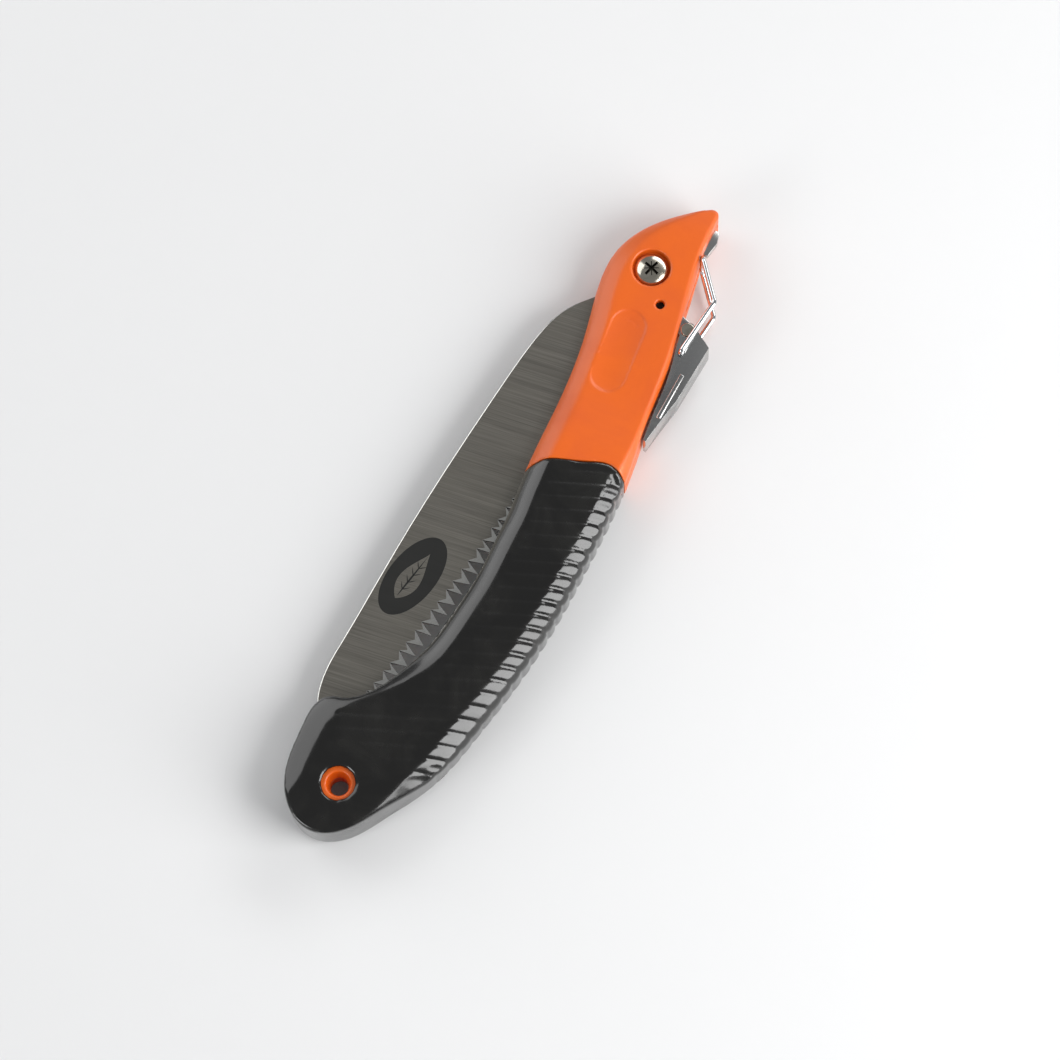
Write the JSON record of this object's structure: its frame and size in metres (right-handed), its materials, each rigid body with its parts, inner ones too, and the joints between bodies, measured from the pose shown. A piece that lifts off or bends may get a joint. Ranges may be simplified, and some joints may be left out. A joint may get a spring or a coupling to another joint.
{
  "type": "folding pruning saw",
  "caption": "Folding pruning saw with a curved two-colour handle, a coarse-toothed steel blade that folds into it, and an over-centre wire latch on the spine.",
  "frame": {"origin": "on the axis of the hang hole, on the parting plane of the two handle shells", "axes": "+Z along the hang hole, out of the front shell; +Y along the handle to the beak; +X to the convex spine"},
  "size_m": [0.0565, 0.2393, 0.0222],
  "materials": {
    "orange_shell": "moulded orange ABS, satin, with rounded front edge",
    "black_grip": "glossy black soft-touch moulding",
    "saw_steel": "ground and brushed across the width",
    "plated_steel": "bright zinc plate on pressed steel",
    "nickel_screw": "nickel plate, domed",
    "chrome_wire": "bright chromed wire",
    "nylon": "natural nylon washer",
    "pin_steel": "plain turned steel"
  },
  "bodies": {
    "handle": {"handle_shell_front": "orange_shell", "handle_shell_rear": "orange_shell", "grip_sleeve": "black_grip", "pivot_screw": "nickel_screw", "pivot_nut": "nickel_screw", "spring_washer": "pin_steel", "blade_washer_front": "nylon", "blade_washer_rear": "nylon", "fold_stop_pin": "pin_steel", "catch_plate": "plated_steel", "latch_bracket": "plated_steel", "bracket_pin_front": "pin_steel", "bracket_pin_rear": "pin_steel", "lever_rivet": "plated_steel", "shell_screw_1": "pin_steel", "shell_screw_2": "pin_steel", "shell_screw_3": "pin_steel"},
    "blade": {"saw_blade": "saw_steel"},
    "lever": {"latch_lever": "plated_steel"},
    "bail": {"bail_wire": "chrome_wire"}
  },
  "joints": [
    {"name": "blade_fold", "type": "hinge", "parent": "handle", "child": "blade", "pos_m": [-0.0015, 0.1947, 0], "axis": [0, 0, -1], "range_deg": [0, 162]},
    {"name": "latch_flip", "type": "hinge", "parent": "handle", "child": "lever", "pos_m": [0.0187, 0.183, 0], "axis": [0, 0, 1], "range_deg": [0, 115]},
    {"name": "bail_swing", "type": "hinge", "parent": "lever", "child": "bail", "pos_m": [0.0207, 0.1749, 0], "axis": [0, 0, 1], "range_deg": [-143.75, 0]}
  ],
  "couplings": [
    {"joint": "bail_swing", "follows": "latch_flip", "ratio": -1.25}
  ]
}
